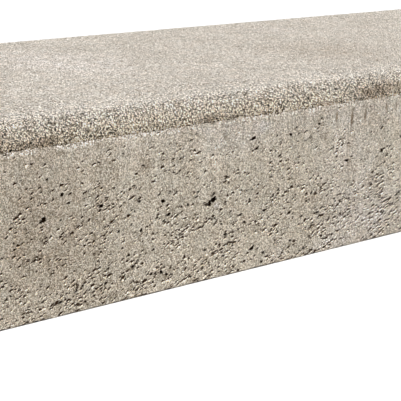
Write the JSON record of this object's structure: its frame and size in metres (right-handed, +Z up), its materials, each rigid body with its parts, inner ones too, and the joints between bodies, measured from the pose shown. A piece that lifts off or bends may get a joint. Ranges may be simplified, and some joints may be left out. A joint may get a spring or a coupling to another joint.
{
  "type": "concrete block step",
  "caption": "Precast concrete block step with a rounded front edge; laid on a bed as a riser and tread of an outdoor stair.",
  "frame": {"origin": "middle of the underside", "axes": "+X along the length, +Y from the riser face to the back, +Z up from the bed to the tread"},
  "size_m": [1, 0.35, 0.15],
  "materials": {
    "pressed_concrete": "pressed concrete, finely pitted on the riser and the ends, finer and paler on the tread"
  },
  "bodies": {
    "root": {"step_block": "pressed_concrete"}
  },
  "joints": []
}
